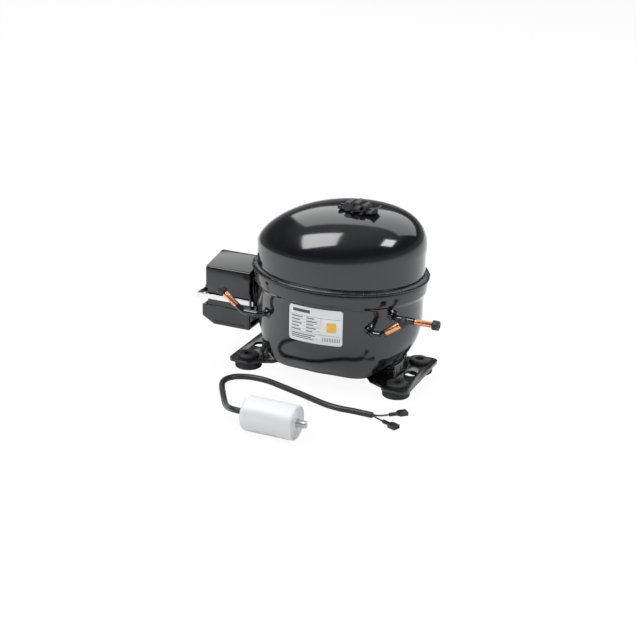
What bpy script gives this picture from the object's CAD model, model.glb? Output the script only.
"""Looks for the hermetic compressor. Lengths here are in millimetres until a mesh is made."""
import math

import bmesh
import bpy
import numpy as np
from mathutils import Matrix, Vector


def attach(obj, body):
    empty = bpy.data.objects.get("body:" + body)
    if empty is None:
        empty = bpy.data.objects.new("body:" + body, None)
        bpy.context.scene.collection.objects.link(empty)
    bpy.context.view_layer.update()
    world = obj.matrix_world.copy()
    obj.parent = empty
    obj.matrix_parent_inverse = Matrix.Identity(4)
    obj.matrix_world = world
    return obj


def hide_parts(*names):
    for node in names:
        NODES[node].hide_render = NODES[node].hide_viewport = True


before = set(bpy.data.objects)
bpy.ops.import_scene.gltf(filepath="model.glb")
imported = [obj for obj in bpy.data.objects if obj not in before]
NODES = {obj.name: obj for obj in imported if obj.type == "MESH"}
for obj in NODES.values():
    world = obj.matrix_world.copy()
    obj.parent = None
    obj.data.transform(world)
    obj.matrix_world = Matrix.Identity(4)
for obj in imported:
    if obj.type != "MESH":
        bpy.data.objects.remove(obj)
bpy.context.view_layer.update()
MM = 0.001


# ---------------------------------------------------------------- camera
def make_camera():
    azimuth, elevation, roll = (math.radians(a) for a in (22.19, 23.245, 2.011))
    distance = 1.501
    back = Vector((math.sin(azimuth) * math.cos(elevation), -math.cos(azimuth) * math.cos(elevation), math.sin(elevation)))
    right = Vector((math.cos(azimuth), math.sin(azimuth), 0))
    up = back.cross(right)
    ex = right * math.cos(roll) + up * math.sin(roll)
    ey = up * math.cos(roll) - right * math.sin(roll)
    data = bpy.data.cameras.new("camera")
    data.sensor_width = 36
    data.lens = 78.7
    data.shift_x = -0.0245
    data.shift_y = 0.0789
    cam = bpy.data.objects.new("camera", data)
    rows = [[ex[i], ey[i], back[i], back[i] * distance] for i in range(3)] + [[0, 0, 0, 1]]
    cam.matrix_world = Matrix(rows)
    bpy.context.scene.collection.objects.link(cam)
    bpy.context.scene.camera = cam


make_camera()


# ---------------------------------------------------------------- materials
def material(name, base, second=None, rough=0.5, rough_spread=0.1, metallic=0.0, scale=60.0, detail=4.0,
             stretch=(1, 1, 1), bump=0.1, bump_scale=None, depth=0.0001, coat=0.0, coat_rough=0.1,
             speck=None, ior=1.5, sheen=0.0, bands=None):
    """A node material: two colours and a roughness led by noise, fine bump, and optional bands or specks."""
    mat = bpy.data.materials.new(name)
    mat.use_nodes = True
    tree = mat.node_tree
    tree.nodes.clear()
    link = tree.links.new

    def node(kind, **sockets):
        made = tree.nodes.new(kind)
        for key, value in sockets.items():
            made.inputs[key.replace("_", " ")].default_value = value
        return made

    out = node("ShaderNodeOutputMaterial")
    shader = node("ShaderNodeBsdfPrincipled", Metallic=metallic, IOR=ior)
    shader.inputs["Coat Weight"].default_value = coat
    shader.inputs["Coat Roughness"].default_value = coat_rough
    shader.inputs["Sheen Weight"].default_value = sheen
    link(shader.outputs["BSDF"], out.inputs["Surface"])
    coords = node("ShaderNodeTexCoord")
    mapping = node("ShaderNodeMapping")
    mapping.inputs["Scale"].default_value = stretch
    link(coords.outputs["Object"], mapping.inputs["Vector"])
    noise = node("ShaderNodeTexNoise", Scale=scale, Detail=detail, Roughness=0.6)
    link(mapping.outputs["Vector"], noise.inputs["Vector"])
    ramp = node("ShaderNodeValToRGB")
    second = second or [min(1, c * 1.35 + 0.004) for c in base]
    ramp.color_ramp.elements[0].position = 0.35
    ramp.color_ramp.elements[0].color = (*base, 1)
    ramp.color_ramp.elements[1].position = 0.72
    ramp.color_ramp.elements[1].color = (*second, 1)
    link(noise.outputs["Fac"], ramp.inputs["Fac"])
    colour = ramp.outputs["Color"]
    height = None
    if bands:
        wave = node("ShaderNodeTexWave", Scale=bands[1], Distortion=0.6)
        wave.bands_direction = bands[0]
        wave.inputs["Detail Scale"].default_value = 2.0
        link(mapping.outputs["Vector"], wave.inputs["Vector"])
        mix = node("ShaderNodeMix")
        mix.data_type = "RGBA"
        mix.inputs[7].default_value = (*bands[2], 1)
        link(wave.outputs["Fac"], mix.inputs[0])
        link(colour, mix.inputs[6])
        colour = mix.outputs[2]
        height = wave.outputs["Fac"]
    if speck:
        dust = node("ShaderNodeTexNoise", Scale=speck[0], Detail=2.0, Roughness=0.5)
        link(coords.outputs["Object"], dust.inputs["Vector"])
        cut = node("ShaderNodeValToRGB")
        cut.color_ramp.elements[0].position = speck[1]
        cut.color_ramp.elements[1].position = min(1.0, speck[1] + 0.05)
        link(dust.outputs["Fac"], cut.inputs["Fac"])
        mix = node("ShaderNodeMix")
        mix.data_type = "RGBA"
        mix.inputs[7].default_value = (*speck[2], 1)
        link(cut.outputs["Color"], mix.inputs[0])
        link(colour, mix.inputs[6])
        colour = mix.outputs[2]
    link(colour, shader.inputs["Base Color"])
    spread = node("ShaderNodeMapRange")
    spread.inputs["To Min"].default_value = max(0.02, rough - rough_spread)
    spread.inputs["To Max"].default_value = min(1.0, rough + rough_spread)
    link(noise.outputs["Fac"], spread.inputs["Value"])
    link(spread.outputs["Result"], shader.inputs["Roughness"])
    if bump:
        fine = node("ShaderNodeTexNoise", Scale=bump_scale or scale * 6, Detail=3.0, Roughness=0.55)
        link(mapping.outputs["Vector"], fine.inputs["Vector"])
        relief = node("ShaderNodeBump", Strength=bump, Distance=depth or 0.0001)
        if height:
            add = node("ShaderNodeMath")
            add.operation = "ADD"
            link(fine.outputs["Fac"], add.inputs[0])
            link(height, add.inputs[1])
            link(add.outputs[0], relief.inputs["Height"])
        else:
            link(fine.outputs["Fac"], relief.inputs["Height"])
        link(relief.outputs["Normal"], shader.inputs["Normal"])
    return mat


ENAMEL = material("enamel_black", (0.0055, 0.0060, 0.0075), (0.0085, 0.0090, 0.0110), rough=0.13, rough_spread=0.05,
                  scale=35, bump=0.10, bump_scale=420, depth=0.0002, coat=0.35, coat_rough=0.06,
                  speck=(900, 0.74, (0.05, 0.05, 0.055)))
BRACKET = material("enamel_bracket", (0.0070, 0.0075, 0.0090), (0.013, 0.0135, 0.015), rough=0.2, rough_spread=0.07,
                   scale=50, bump=0.14, bump_scale=500, depth=0.0002, coat=0.25, speck=(700, 0.72, (0.06, 0.06, 0.06)))
WELD = material("enamel_weld", (0.0055, 0.0058, 0.0070), (0.012, 0.012, 0.013), rough=0.26, rough_spread=0.1,
                scale=90, bump=0.35, bump_scale=600, depth=0.0003)
FOIL = material("label_foil", (0.66, 0.67, 0.685), (0.74, 0.75, 0.76), rough=0.45, rough_spread=0.06, metallic=0.2,
                scale=25, stretch=(1, 1, 12), bump=0.05, bump_scale=500)
PRINT = material("label_print", (0.035, 0.036, 0.04), (0.07, 0.07, 0.075), rough=0.5, scale=900, bump=0.05)
AMBER = material("label_amber", (0.72, 0.42, 0.05), (0.78, 0.50, 0.08), rough=0.5, scale=300, bump=0.04)
RUBBER = material("rubber_grommet", (0.012, 0.012, 0.013), (0.028, 0.028, 0.029), rough=0.62, rough_spread=0.12,
                  scale=80, bump=0.25, bump_scale=900, depth=0.0002, speck=(500, 0.68, (0.10, 0.10, 0.10)))
PLUG = material("rubber_plug", (0.010, 0.010, 0.011), (0.022, 0.022, 0.023), rough=0.5, rough_spread=0.1,
                scale=160, bump=0.15, bump_scale=1200)
COPPER = material("copper_bare", (0.78, 0.36, 0.20), (0.62, 0.25, 0.13), rough=0.27, rough_spread=0.1, metallic=1.0,
                  scale=120, stretch=(1, 1, 1), bump=0.12, bump_scale=800, speck=(260, 0.66, (0.36, 0.14, 0.08)))
CLIP = material("clip_nylon", (0.010, 0.010, 0.012), (0.02, 0.02, 0.022), rough=0.38, rough_spread=0.08, scale=150,
                bump=0.12, bump_scale=1200)
COVER = material("cover_plastic", (0.0085, 0.009, 0.0105), (0.012, 0.0125, 0.014), rough=0.2, rough_spread=0.05, scale=40,
                 bump=0.05, bump_scale=700, coat=0.2, coat_rough=0.12)
STRAP = material("strap_steel", (0.72, 0.73, 0.75), (0.56, 0.57, 0.59), rough=0.24, rough_spread=0.1, metallic=1.0,
                 scale=60, stretch=(1, 1, 14), bump=0.12, bump_scale=400)
CAN = material("can_grey", (0.62, 0.63, 0.64), (0.68, 0.69, 0.70), rough=0.5, rough_spread=0.07, metallic=0.1,
               scale=40, stretch=(0.15, 1, 1), bump=0.08, bump_scale=500)
LID = material("can_lid", (0.56, 0.57, 0.58), (0.66, 0.67, 0.68), rough=0.42, rough_spread=0.1, metallic=0.2, scale=90,
               bump=0.12, bump_scale=700)
STUD = material("stud_zinc", (0.60, 0.60, 0.60), (0.42, 0.42, 0.43), rough=0.34, rough_spread=0.12, metallic=1.0,
                scale=160, bump=0.2, bump_scale=900)
SHEATH = material("lead_rubber", (0.011, 0.011, 0.012), (0.024, 0.024, 0.026), rough=0.42, rough_spread=0.1, scale=90,
                  bump=0.2, bump_scale=900, depth=0.0002)
WIRE = material("wire_pvc", (0.012, 0.012, 0.014), (0.03, 0.03, 0.033), rough=0.35, scale=200, bump=0.1, bump_scale=900)
SPADE = material("spade_nylon", (0.011, 0.011, 0.013), (0.022, 0.022, 0.025), rough=0.36, scale=180, bump=0.12,
                 bump_scale=1200)
STEEL = material("steel_plain", (0.46, 0.46, 0.47), (0.32, 0.32, 0.33), rough=0.38, rough_spread=0.12, metallic=1.0,
                 scale=90, bump=0.15, bump_scale=600)
GROUND = material("steel_ground", (0.60, 0.60, 0.61), (0.50, 0.50, 0.52), rough=0.22, rough_spread=0.08, metallic=1.0,
                  scale=60, stretch=(1, 1, 10), bump=0.08, bump_scale=500)
IRON = material("iron_cast", (0.20, 0.20, 0.21), (0.12, 0.12, 0.125), rough=0.58, rough_spread=0.15, metallic=0.8,
                scale=70, bump=0.5, bump_scale=500, depth=0.0004, speck=(300, 0.66, (0.28, 0.27, 0.26)))
LAMINATION = material("lamination", (0.24, 0.25, 0.28), (0.17, 0.17, 0.19), rough=0.45, metallic=0.8, scale=60,
                      bump=0.4, bump_scale=300, bands=("Z", 320.0, (0.10, 0.10, 0.12)))
WINDING = material("magnet_wire", (0.55, 0.20, 0.08), (0.66, 0.27, 0.11), rough=0.3, metallic=0.7, scale=60,
                   bump=0.5, bump_scale=300, bands=("Z", 240.0, (0.30, 0.09, 0.03)))
ALUMINIUM = material("aluminium_cast", (0.62, 0.63, 0.64), (0.50, 0.51, 0.52), rough=0.42, metallic=1.0, scale=70,
                     bump=0.3, bump_scale=400)
GLASS = material("glass_seal", (0.05, 0.13, 0.12), (0.08, 0.19, 0.17), rough=0.12, scale=120, bump=0.06, coat=0.5)
CERAMIC = material("ceramic_pill", (0.25, 0.24, 0.22), (0.32, 0.31, 0.29), rough=0.6, scale=120, bump=0.2)
FIBRE = material("gasket_fibre", (0.20, 0.18, 0.14), (0.30, 0.28, 0.22), rough=0.85, scale=200, bump=0.4)
NATURAL = material("muffler_plastic", (0.62, 0.60, 0.54), (0.68, 0.67, 0.62), rough=0.45, scale=60, bump=0.15)
SLEEVE = material("motor_sleeving", (0.42, 0.24, 0.06), (0.50, 0.32, 0.10), rough=0.4, scale=120, bump=0.3,
                  bands=("X", 400.0, (0.30, 0.16, 0.05)))


# ---------------------------------------------------------------- mesh making
def finish_piece(ob, mat, body, replaces=(), sharp=40):
    mesh = ob.data
    mesh.materials.clear()
    mesh.materials.append(mat)
    for polygon in mesh.polygons:
        polygon.use_smooth = True
    mesh.set_sharp_from_angle(angle=math.radians(sharp))
    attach(ob, body)
    if replaces:
        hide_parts(*replaces)
    return ob


def add_mesh(name, parts, mat, body="root", replaces=(), sharp=40):
    """One object from closed parts, each (points in millimetres, faces)."""
    points, faces = [], []
    for verts, polys in parts:
        start = len(points)
        points += [tuple(c * MM for c in v) for v in verts]
        faces += [[start + i for i in poly] for poly in polys]
    mesh = bpy.data.meshes.new(name)
    mesh.from_pydata(points, [], faces)
    bm = bmesh.new()
    bm.from_mesh(mesh)
    bmesh.ops.recalc_face_normals(bm, faces=bm.faces)
    bm.to_mesh(mesh)
    bm.free()
    ob = bpy.data.objects.new(name, mesh)
    bpy.context.scene.collection.objects.link(ob)
    return finish_piece(ob, mat, body, replaces, sharp)


def loft(rings, loop=False):
    """A closed solid through rings of equal point counts; loop joins the last ring to the first."""
    n, m = len(rings[0]), len(rings)
    verts = [tuple(p) for ring in rings for p in ring]
    faces = []
    for k in range(m if loop else m - 1):
        for i in range(n):
            a, b = k * n, (k + 1) % m * n
            faces.append([a + i, a + (i + 1) % n, b + (i + 1) % n, b + i])
    if not loop:
        faces += [list(range(n))[::-1], [(m - 1) * n + i for i in range(n)]]
    return verts, faces


def revolve(profile, origin, axis, seg=64, ring=False):
    """Turns (radius, distance along axis) points about an axis; ring joins the last point to the first, for a hollow piece."""
    axis = Vector(axis).normalized()
    side = axis.orthogonal().normalized()
    other = axis.cross(side)
    rings = []
    for r, h in profile:
        r = max(r, 0.02)
        rings.append([Vector(origin) + axis * h + (side * math.cos(t) + other * math.sin(t)) * r
                      for t in (2 * math.pi * i / seg for i in range(seg))])
    return loft(rings, loop=ring)


def sweep(path, radius, sides=24):
    """A round tube along a path; radius is one number or one for each point."""
    path = [Vector(p) for p in path]
    radii = radius if isinstance(radius, list) else [radius] * len(path)
    tangents = []
    for i in range(len(path)):
        a, b = path[max(0, i - 1)], path[min(len(path) - 1, i + 1)]
        tangents.append((b - a).normalized())
    side = tangents[0].orthogonal().normalized()
    rings = []
    for p, t, r in zip(path, tangents, radii):
        side = (side - t * side.dot(t)).normalized()
        other = t.cross(side)
        rings.append([p + (side * math.cos(a) + other * math.sin(a)) * r
                      for a in (2 * math.pi * i / sides for i in range(sides))])
    return loft(rings)


def spline(points, steps):
    """Catmull-Rom through the points."""
    p = [np.array(q, float) for q in points]
    out = []
    for k in range(len(p) - 1):
        a, b, c, d = p[max(0, k - 1)], p[k], p[k + 1], p[min(len(p) - 1, k + 2)]
        for j in range(steps):
            s = j / steps
            out.append(0.5 * (2 * b + (c - a) * s + (2 * a - 5 * b + 4 * c - d) * s ** 2 + (3 * b - a - 3 * c + d) * s ** 3))
    return [tuple(q) for q in out + [p[-1]]]


def refined(node, mat, body, width=0.5, segments=2, sharp=40, angle=35):
    """The CAD node's own shape with its hard edges rounded, standing for the node."""
    mesh = NODES[node].data.copy()
    mesh.name = node + "_rounded"
    bm = bmesh.new()
    bm.from_mesh(mesh)
    bmesh.ops.remove_doubles(bm, verts=bm.verts, dist=1e-6)
    bmesh.ops.dissolve_limit(bm, angle_limit=math.radians(1), verts=bm.verts, edges=bm.edges)
    bm.to_mesh(mesh)
    bm.free()
    ob = bpy.data.objects.new(node + "_rounded", mesh)
    bpy.context.scene.collection.objects.link(ob)
    bevel = ob.modifiers.new("edges", "BEVEL")
    bevel.width = width * MM
    bevel.segments = segments
    bevel.limit_method = "ANGLE"
    bevel.angle_limit = math.radians(angle)
    bpy.context.view_layer.update()
    ob.data = bpy.data.meshes.new_from_object(ob.evaluated_get(bpy.context.evaluated_depsgraph_get()))
    ob.modifiers.clear()
    return finish_piece(ob, mat, body, (node,), sharp)


# ---------------------------------------------------------------- cords, first
LEAD_ROUTE = [(-23.4, -176.5, 17.5), (-27.5, -176.5, 17.5), (-35, -173, 16), (-42.5, -165, 12.5), (-50, -155, 8.5),
              (-58, -143, 5.2), (-66, -130, 3.6), (-74, -117, 3.2), (-81, -105, 3.2), (-86, -94, 3.2), (-86, -83.5, 3.2),
              (-80, -74.5, 3.2), (-68, -69.5, 3.2), (-55, -68.5, 3.2), (-42, -70.5, 3.2), (-27, -75.5, 3.2),
              (-12, -80.5, 3.2), (4, -86, 3.2), (20, -92, 3.2), (34, -96.5, 3.2), (48, -98.5, 3.2), (62, -98, 3.2),
              (74, -98.2, 3.2), (84, -98.4, 3.2)]
WIRE_A = [(83, -97.4, 3.2), (84.4, -97.2, 3.2), (87, -96.4, 2.8), (91, -93.5, 2.2), (95, -89.8, 2), (99, -86, 2), (102, -83, 2)]
WIRE_B = [(83, -99.4, 3.2), (84.4, -99.6, 3.2), (87, -100.2, 2.8), (91, -101.6, 2.2), (95, -103.2, 2), (99, -104.8, 2),
          (103, -106.6, 2)]
LEAD_R = 3.1
WIRE_R = 0.9

lead_path = spline(LEAD_ROUTE, 8)
lead = add_mesh("lead_sheath_tube", [sweep(lead_path, [LEAD_R] * (len(lead_path) - 2) + [LEAD_R, LEAD_R - 0.4])], SHEATH,
                replaces=("lead_sheath",), sharp=60)
wire_a = add_mesh("lead_wire_a_tube", [sweep(spline(WIRE_A, 6), WIRE_R, 16)], WIRE, replaces=("lead_wire_a",))
wire_b = add_mesh("lead_wire_b_tube", [sweep(spline(WIRE_B, 6), WIRE_R, 16)], WIRE, replaces=("lead_wire_b",))
spades = [refined(n, SPADE, "root", width=0.45, segments=3) for n in ("spade_a", "spade_b")]

# ---------------------------------------------------------------- shell
SHELL_A, SHELL_B, SHELL_X, WALL = 90, 74, 4, 3
FLOOR_Z, BOWL_TOP, BOWL_INSET = 15, 70, 40
SKIRT_Z, CROWN_H, CROWN_X, CROWN_LEAN = 141.5, 45, 20.5, 1.2
BOWL_FLAT, BOWL_LOBE = 0.62, 0.24
AROUND = 192


def oval(grow, z, x=SHELL_X, count=AROUND, k=1.0):
    return [(x + (SHELL_A * k + grow) * math.cos(t), (SHELL_B * k + grow) * math.sin(t), z)
            for t in (2 * math.pi * i / count for i in range(count))]


def inset(z):
    if z >= BOWL_TOP:
        return 0
    return BOWL_INSET * (1 - math.sqrt(max(0, 1 - ((BOWL_TOP - z) / (BOWL_TOP - FLOOR_Z)) ** 1.7)))


def lobe(t, cut):
    return 1 + BOWL_LOBE * cut / BOWL_INSET * math.sin(2 * t) ** 4


def bowl_ring(grow, cut, z, count=AROUND):
    """A ring of the bowl, drawn in by the cut, with its four low corners left fuller."""
    turns = [2 * math.pi * i / count for i in range(count)]
    return [(SHELL_X + (SHELL_A + grow - cut) * lobe(t, cut) * math.cos(t),
             (SHELL_B + grow - BOWL_FLAT * cut) * lobe(t, cut) * math.sin(t), z) for t in turns]


def crown(u, thick):
    k = (1 - u ** 1.62) ** (1 / 2.68)
    z = SKIRT_Z + (CROWN_H - (thick if u > 0 else 0)) * u
    return oval(-thick * math.sqrt(k), z, SHELL_X + CROWN_X * u ** CROWN_LEAN, k=k)


def lower_shell():
    bowl = [FLOOR_Z + (BOWL_TOP - FLOOR_Z) * (i / 26) ** 1.6 for i in range(27)]
    outer = [bowl_ring(0, inset(z), z) for z in bowl]
    outer += [oval(g, z) for g, z in ((0, 80), (0, 90), (0, 95.6), (0.35, 96.8), (1.3, 98.2), (2.4, 99.2), (3.0, 100.2),
                                       (3.15, 101.4), (3.15, 106), (3.15, 111.4), (2.9, 112.2), (2.3, 112.5))]
    inner = [oval(g, z) for g, z in ((0.15, 112.5), (0.15, 99.5), (-3, 99.5))]
    inner += [bowl_ring(-WALL, inset(z), z + WALL * (BOWL_TOP - z) / (BOWL_TOP - FLOOR_Z)) for z in reversed(bowl)]
    return loft(outer + inner)


def upper_shell():
    steps = [1 - (1 - i / 44) ** 1.9 for i in range(44)] + [0.9996]
    inside = [crown(u, WALL) for u in reversed(steps[:-2])]
    outside = [crown(u, 0) for u in steps]
    return loft(inside + [oval(-3, 99.6), oval(0, 99.6)] + outside)


add_mesh("lower_shell_body", [lower_shell()], ENAMEL, replaces=("lower_shell",))
add_mesh("upper_shell_dome", [upper_shell()], ENAMEL, replaces=("upper_shell",))


def weld_bead(count=960):
    """The bead rises and falls a little along its length, as a weld laid in one run does."""
    profile = [(0.15, 112.5), (3.0, 112.5), (4.2, 112.8), (4.9, 113.7), (5.0, 114.6), (4.5, 115.7), (3.4, 116.6),
               (1.9, 117.2), (0.15, 117.6)]
    rings = []
    for i in range(count):
        t = 2 * math.pi * i / count
        ripple = 0.30 * abs(math.sin(160 * t)) + 0.12 * math.sin(23 * t) + 0.10 * math.sin(41 * t + 1)
        ring = []
        for d, z in profile:
            grow = d + (ripple if d > 1 else 0)
            ring.append((SHELL_X + (SHELL_A + grow) * math.cos(t), (SHELL_B + grow) * math.sin(t),
                         z + (0.25 * ripple if z > 114 else 0)))
        rings.append(ring)
    return loft(rings, loop=True)


add_mesh("seam_weld_bead", [weld_bead()], WELD, replaces=("seam_weld",), sharp=70)

# ---------------------------------------------------------------- label
LABEL_X, LABEL_Z, LABEL_W, LABEL_H, LABEL_T = 7.5, 76, 58, 38.5, 0.4


def on_front(x, z, off):
    """A point off the shell's front wall at x, z."""
    cut = inset(z)
    t = math.pi / 2
    for _ in range(4):
        t = math.acos((x - SHELL_X) / ((SHELL_A + off - cut) * lobe(t, cut)))
    return (x, -(SHELL_B + off - BOWL_FLAT * cut) * lobe(t, cut) * math.sin(t), z)


def front_patch(x0, x1, z0, z1, low, high, radius=0.0, nx=40, nz=8):
    """A thin plate on the shell's front, with rounded corners."""
    heights = [z0 + (z1 - z0) * k / nz for k in range(nz + 1)]
    if radius:
        arc = [radius * (1 - math.cos(math.pi / 2 * k / 6)) for k in range(7)]
        heights = [z0 + a for a in arc] + [z0 + radius + (z1 - z0 - 2 * radius) * k / nz for k in range(1, nz)]
        heights += [z1 - a for a in reversed(arc)]
    rings = []
    for z in heights:
        dz = min(z - z0, z1 - z)
        cut = radius - math.sqrt(max(0, radius ** 2 - (radius - dz) ** 2)) if dz < radius else 0
        xs = [x0 + cut + (x1 - x0 - 2 * cut) * i / nx for i in range(nx + 1)]
        rings.append([on_front(x, z, high) for x in xs] + [on_front(x, z, low) for x in reversed(xs)])
    return loft(rings)


lx0, lx1 = LABEL_X - LABEL_W / 2, LABEL_X + LABEL_W / 2
lz0, lz1 = LABEL_Z - LABEL_H / 2, LABEL_Z + LABEL_H / 2
add_mesh("label_plate", [front_patch(lx0, lx1, lz0, lz1, 0.03, 0.03 + LABEL_T, radius=3.2)], FOIL,
         replaces=("rating_label",))
PRINT_ON = LABEL_T + 0.03


def bar(x0, x1, z0, z1):
    """A printed bar, in millimetres from the label's top left corner."""
    return front_patch(lx0 + x0, lx0 + x1, lz1 - z1, lz1 - z0, PRINT_ON - 0.02, PRINT_ON + 0.02,
                       nx=max(2, int((x1 - x0) / 2)), nz=1)


bars = [bar(2, 56, 9.6, 9.9), bar(2, 56, 27.6, 27.9), bar(36, 36.3, 9.9, 27.6)]
bars += [bar(2, 36, 9.9 + 3.5 * k, 10.1 + 3.5 * k) for k in range(1, 5)]
bars += [bar(3, 3 + w, 11.0 + 3.5 * k, 12.1 + 3.5 * k) for k, w in enumerate((13, 10, 12, 9, 11))]
bars += [bar(20, 20 + w, 11.0 + 3.5 * k, 12.1 + 3.5 * k) for k, w in enumerate((9, 12, 8, 11, 7))]
bars += [bar(4.5, 24, 3.0, 6.4)]
bars += [bar(38 + 1.7 * k, 38.6 + 1.7 * k, 30, 34.5) for k in range(11)]
bars += [bar(3, 30, 29.6, 30.6), bar(3, 26, 31.8, 32.8), bar(3, 29, 34.0, 34.8)]
add_mesh("label_marks", bars, PRINT)
add_mesh("label_square", [front_patch(lx0 + 42, lx0 + 52, lz1 - 24, lz1 - 13.5, PRINT_ON - 0.02, PRINT_ON + 0.02,
                                      radius=1.2, nx=8, nz=3)], AMBER)

# ---------------------------------------------------------------- feet
for side in ("left", "right"):
    refined(side + "_foot", BRACKET, "root", width=0.9, segments=3)


def grommet(x, y):
    bore, low, neck, top = 4.25, 14.5, 8, 11.5
    profile = [(bore, 0.3), (bore + 0.4, 0), (low - 1.4, 0), (low - 0.5, 0.3), (low, 1.2), (low - 0.15, 4), (low, 7.3),
               (low - 0.5, 8.2), (low - 1.4, 8.5), (neck + 0.1, 8.5), (neck, 8.9), (neck, top), (11, top + 0.05),
               (11.15, top + 0.7), (10.9, top + 1.8), (10.1, top + 3.0), (9.2, top + 3.6), (8.2, top + 3.8),
               (bore + 1.2, top + 3.8), (bore + 0.3, top + 3.5), (bore, top + 2.9)]
    rings = []
    count = 72
    for r, z in profile:
        rings.append([(x + r * math.cos(t), y + r * math.sin(t), z) for t in (2 * math.pi * i / count for i in range(count))])
    return loft(list(map(list, zip(*rings))), loop=True)


add_mesh("grommet_set", [grommet(sx * 85, sy * 35) for sx in (-1, 1) for sy in (-1, 1)], RUBBER,
         replaces=("rubber_grommets",), sharp=50)

# ---------------------------------------------------------------- stub tubes and plugs
BEND_R, TUBE_WALL, COPPER_L, PLUG_R, PLUG_T, PLUG_GAP = 10, 0.8, 18, 5, 7, 0.3


class Stub:
    """A tube's centre line: out of the wall, round to X, along, and up by the lift."""

    def __init__(self, x, z, radius, stem, toward, run, lift, tip):
        y = -SHELL_B * math.sqrt(1 - ((x - SHELL_X) / SHELL_A) ** 2)
        self.seat = Vector((x, y, z))
        self.heading = math.atan2(y / SHELL_B ** 2, (x - SHELL_X) / SHELL_A ** 2)
        self.radius, self.lift, self.tip = radius, math.radians(lift), tip
        turn = (toward - self.heading)
        s = 1 if turn > 0 else -1
        h = self.heading
        out = Vector((math.cos(h), math.sin(h), 0))
        centre = self.seat + out * stem + Vector((-math.sin(h), math.cos(h), 0)) * BEND_R * s
        arc = [centre - Vector((-math.sin(h + s * a), math.cos(h + s * a), 0)) * BEND_R * s
               for a in (abs(turn) * i / 14 for i in range(15))]
        along = Vector((math.cos(toward), math.sin(toward), 0))
        start = arc[-1] + along * run
        rise = [start + (along * math.sin(b) + Vector((0, 0, 1)) * (1 - math.cos(b))) * BEND_R
                for b in (self.lift * i / 10 for i in range(1, 11))] if lift else []
        self.axis = (along * math.cos(self.lift) + Vector((0, 0, 1)) * math.sin(self.lift)).normalized()
        begin = rise[-1] if rise else start
        self.end = begin + self.axis * tip
        self.out = out
        self.path = [self.seat - out * 3, self.seat + out * 0.5, *arc, start, *rise]

    def painted(self):
        last = self.end - self.axis * COPPER_L
        return sweep([*self.path, last - self.axis * 1.5, last], [self.radius + 0.12] * (len(self.path) + 1) + [self.radius + 0.02], 32)

    def bare(self):
        """The bare end with its open bore, as one turned profile."""
        r, bore = self.radius, self.radius - TUBE_WALL
        profile = [(r, -COPPER_L - 2), (r, -0.5), (r - 0.2, -0.12), (r - 0.4, 0), (bore + 0.15, 0), (bore, -0.3), (bore, -12), (0, -12)]
        return revolve([(0, -COPPER_L - 2), *profile], self.end, self.axis, 48)

    def collar(self):
        """Braze fillet where the tube meets the shell."""
        r = self.radius
        return revolve([(r - 0.3, -2), (r + 3.0, -2), (r + 3.0, 0.1), (r + 2.4, 0.6), (r + 1.3, 1.0), (r + 0.6, 1.8), (r + 0.1, 3.0), (r - 0.3, 3.0)],
                       self.seat, self.out, 48, ring=True)

    def plug(self):
        r = self.radius - TUBE_WALL - 0.06
        top = PLUG_GAP + PLUG_T
        return revolve([(0, -8), (r - 0.4, -8), (r, -7.4), (r, PLUG_GAP), (PLUG_R - 0.4, PLUG_GAP), (PLUG_R, PLUG_GAP + 0.5),
                        (PLUG_R, top - 1.3), (PLUG_R - 0.25, top - 0.6), (PLUG_R - 1.0, top - 0.05), (PLUG_R - 1.8, top),
                        (1.9, top), (1.45, top - 0.3), (1.3, top - 0.9), (1.2, top - 2.3), (0, top - 2.5)], self.end, self.axis, 48)


STUBS = {"suction": Stub(61.3, 75.4, 3.4, 4, 0, 1, 38, 22),
         "discharge": Stub(-53, 74, 3.1, 4, -math.pi, 10, 38, 24),
         "process": Stub(79.2, 88.9, 3.1, 5, 0, 12, 0, 22)}
for kind, stub in STUBS.items():
    add_mesh(kind + "_tube_bare", [stub.bare()], COPPER, replaces=(kind + "_tube",))
    add_mesh(kind + "_tube_painted", [stub.painted()], ENAMEL)
    add_mesh(kind + "_tube_collar", [stub.collar()], ENAMEL)
    add_mesh(kind + "_plug_turned", [stub.plug()], PLUG, body=kind + "_plug_body", replaces=(kind + "_plug",))

# ---------------------------------------------------------------- clip, relay cover, strap, bracket
refined("relay_cover", COVER, "cover", width=1.0, segments=3)
refined("cover_strap", STRAP, "cover", width=0.25)
refined("terminal_bracket", BRACKET, "root", width=0.3)

# ---------------------------------------------------------------- run capacitor
CAN_X0, CAN_X1, CAN_Y, CAN_R = -18.5, 36.5, -176.5, 17.5
can_axis = (CAN_X0, CAN_Y, CAN_R)
ALONG = (1, 0, 0)
CAN_L = CAN_X1 - CAN_X0
shoulder = [(CAN_R - 4 + 4 * math.sin(math.pi / 2 * i / 8), 4 - 4 * math.cos(math.pi / 2 * i / 8)) for i in range(9)]
add_mesh("capacitor_can_drawn", [revolve([(4.6, 2.5), (4.6, 0.2), (5.0, 0), *shoulder, (CAN_R, 5), (CAN_R, CAN_L - 3.0),
                                         (CAN_R - 0.1, CAN_L - 1.6), (CAN_R - 0.4, CAN_L - 0.6), (CAN_R - 0.9, CAN_L - 0.1),
                                         (CAN_R - 1.5, CAN_L - 0.05), (CAN_R - 1.9, CAN_L - 0.5), (CAN_R - 2.1, CAN_L - 1.2),
                                         (CAN_R - 2.1, CAN_L - 4), (CAN_R - 2.4, CAN_L - 4.5), (CAN_R - 2.4, 4.5)],
                                        can_axis, ALONG, 96, ring=True)], CAN, replaces=("capacitor_can",))
lid = [(4.05, CAN_L - 4), (15.4, CAN_L - 4), (15.4, CAN_L - 0.9), (15.0, CAN_L - 0.6)]
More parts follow.
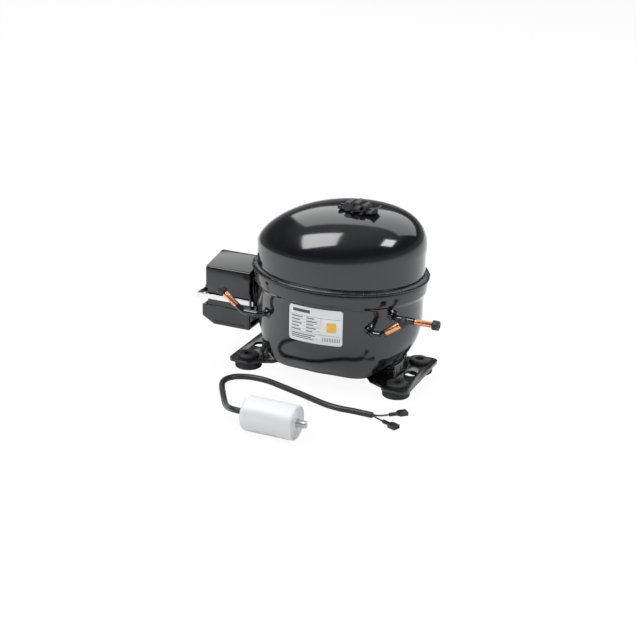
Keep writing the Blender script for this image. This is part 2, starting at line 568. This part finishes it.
for groove in (14.0, 11.4, 8.8):
    lid += [(groove + 0.5, CAN_L - 0.6), (groove + 0.2, CAN_L - 1.1), (groove - 0.2, CAN_L - 1.1), (groove - 0.5, CAN_L - 0.6)]
lid += [(6.4, CAN_L - 0.6), (6.0, CAN_L - 0.2), (4.6, CAN_L - 0.1), (4.05, CAN_L - 0.5)]
add_mesh("capacitor_lid_turned", [revolve(lid, can_axis, ALONG, 96, ring=True)], LID, replaces=("capacitor_lid",))
stud = [(0, CAN_L - 4), (4, CAN_L - 4), (4, CAN_L + 0.4)]
for k in range(6):
    start = CAN_L + 0.7 + 1.25 * k
    stud += [(3.5, start), (3.95, start + 0.45), (3.95, start + 0.75), (3.5, start + 1.2)]
stud += [(3.45, CAN_L + 9.2), (2.9, CAN_L + 10), (0, CAN_L + 10)]
add_mesh("capacitor_stud_turned", [revolve(stud, can_axis, ALONG, 64)], STUD, replaces=("capacitor_stud",))
add_mesh("lead_gland_turned", [revolve([(3.15, 2.9), (4.4, 2.9), (4.4, -0.4), (4.2, -1.0), (3.9, -4.4), (3.6, -5), (3.15, -5)],
                                       can_axis, ALONG, 48, ring=True)], SHEATH, replaces=("lead_gland",))

# ---------------------------------------------------------------- pieces that keep their CAD shape
KEPT = {
    STEEL: "terminal_header terminal_pins ground_screw spring_seats suspension_springs head_bolts stator_bolts reed_stop",
    GROUND: "suction_reed discharge_reed piston yoke_tube valve_plate oil_pickup",
    GLASS: "terminal_glass", CERAMIC: "ptc_pill", FIBRE: "head_gasket", NATURAL: "suction_muffler", SLEEVE: "motor_leads",
    CLIP: "top_clip start_relay connector_block overload_protector", COPPER: "discharge_loop", WINDING: "stator_windings",
    LAMINATION: "stator_core rotor_core", ALUMINIUM: "rotor_cage",
    IRON: "cylinder_block crankshaft counterweight cylinder_head slide_block oil_gallery_plug",
}
for mat, names in KEPT.items():
    for name in names.split():
        NODES[name].data.materials.clear()
        NODES[name].data.materials.append(mat)


# ---------------------------------------------------------------- stage and light
def white_for_camera(tree, plain, out_socket, share):
    """Mixes plain white into what the camera and mirror-like surfaces see of a stage piece."""
    path = tree.nodes.new("ShaderNodeLightPath")
    both = tree.nodes.new("ShaderNodeMath")
    both.operation = "MAXIMUM"
    tree.links.new(path.outputs["Is Camera Ray"], both.inputs[0])
    tree.links.new(path.outputs["Is Transmission Ray"], both.inputs[1])
    scaled = tree.nodes.new("ShaderNodeMath")
    scaled.operation = "MULTIPLY"
    scaled.inputs[1].default_value = share
    tree.links.new(both.outputs[0], scaled.inputs[0])
    glow = tree.nodes.new("ShaderNodeEmission")
    glow.inputs["Color"].default_value = (1, 1, 1, 1)
    mix = tree.nodes.new("ShaderNodeMixShader")
    tree.links.new(scaled.outputs[0], mix.inputs[0])
    tree.links.new(plain, mix.inputs[1])
    tree.links.new(glow.outputs[0], mix.inputs[2])
    tree.links.new(mix.outputs[0], out_socket)


def make_floor():
    size = 6.0
    mesh = bpy.data.meshes.new("floor")
    mesh.from_pydata([(-size, -size, 0), (size, -size, 0), (size, size, 0), (-size, size, 0)], [], [[0, 1, 2, 3]])
    floor = bpy.data.objects.new("floor", mesh)
    bpy.context.scene.collection.objects.link(floor)
    mat = bpy.data.materials.new("floor_white")
    mat.use_nodes = True
    tree = mat.node_tree
    tree.nodes.clear()
    out = tree.nodes.new("ShaderNodeOutputMaterial")
    diffuse = tree.nodes.new("ShaderNodeBsdfDiffuse")
    diffuse.inputs["Color"].default_value = (0.9, 0.9, 0.9, 1)
    white_for_camera(tree, diffuse.outputs[0], out.inputs["Surface"], 0.94)
    mesh.materials.append(mat)


def make_world():
    world = bpy.data.worlds.new("studio")
    bpy.context.scene.world = world
    world.use_nodes = True
    tree = world.node_tree
    tree.nodes.clear()
    out = tree.nodes.new("ShaderNodeOutputWorld")
    coords = tree.nodes.new("ShaderNodeTexCoord")
    split = tree.nodes.new("ShaderNodeSeparateXYZ")
    tree.links.new(coords.outputs["Generated"], split.inputs[0])
    by_height = tree.nodes.new("ShaderNodeValToRGB")
    stops = by_height.color_ramp.elements
    stops[0].position, stops[0].color = 0.0, (0.62, 0.66, 0.74, 1)
    stops[1].position, stops[1].color = 1.0, (0.95, 0.97, 1.0, 1)
    for place, grey in ((0.10, 0.42), (0.24, 0.10), (0.50, 0.10), (0.72, 0.55)):
        stop = stops.new(place)
        stop.color = (grey, grey * 1.03, grey * 1.1, 1)
    tree.links.new(split.outputs["Z"], by_height.inputs["Fac"])
    soft = tree.nodes.new("ShaderNodeBackground")
    soft.inputs["Strength"].default_value = 0.5
    tree.links.new(by_height.outputs["Color"], soft.inputs["Color"])
    white = tree.nodes.new("ShaderNodeBackground")
    white.inputs["Color"].default_value = (1, 1, 1, 1)
    path = tree.nodes.new("ShaderNodeLightPath")
    mix = tree.nodes.new("ShaderNodeMixShader")
    tree.links.new(path.outputs["Is Camera Ray"], mix.inputs[0])
    tree.links.new(soft.outputs[0], mix.inputs[1])
    tree.links.new(white.outputs[0], mix.inputs[2])
    tree.links.new(mix.outputs[0], out.inputs["Surface"])


def area_light(name, place, target, size, power, colour=(1, 1, 1), turn=0.0):
    data = bpy.data.lights.new(name, "AREA")
    data.shape = "RECTANGLE"
    data.size, data.size_y = size
    data.energy = power
    data.color = colour
    lamp = bpy.data.objects.new(name, data)
    lamp.location = place
    lamp.rotation_euler = (Vector(target) - Vector(place)).to_track_quat("-Z", "Y").to_euler()
    lamp.rotation_euler.rotate_axis("Z", math.radians(turn))
    bpy.context.scene.collection.objects.link(lamp)


bpy.context.scene.view_settings.view_transform = "Standard"
make_floor()
make_world()
area_light("key", (-0.62, -0.62, 1.25), (0, 0, 0.1), (0.8, 0.8), 17, turn=45)
area_light("side", (0.95, -0.3, 0.95), (0, 0, 0.1), (0.4, 0.4), 6, (0.95, 0.97, 1.0), turn=45)
area_light("top", (0.0, 1.5, 1.9), (0, 0, 0.1), (4.5, 2.2), 60)
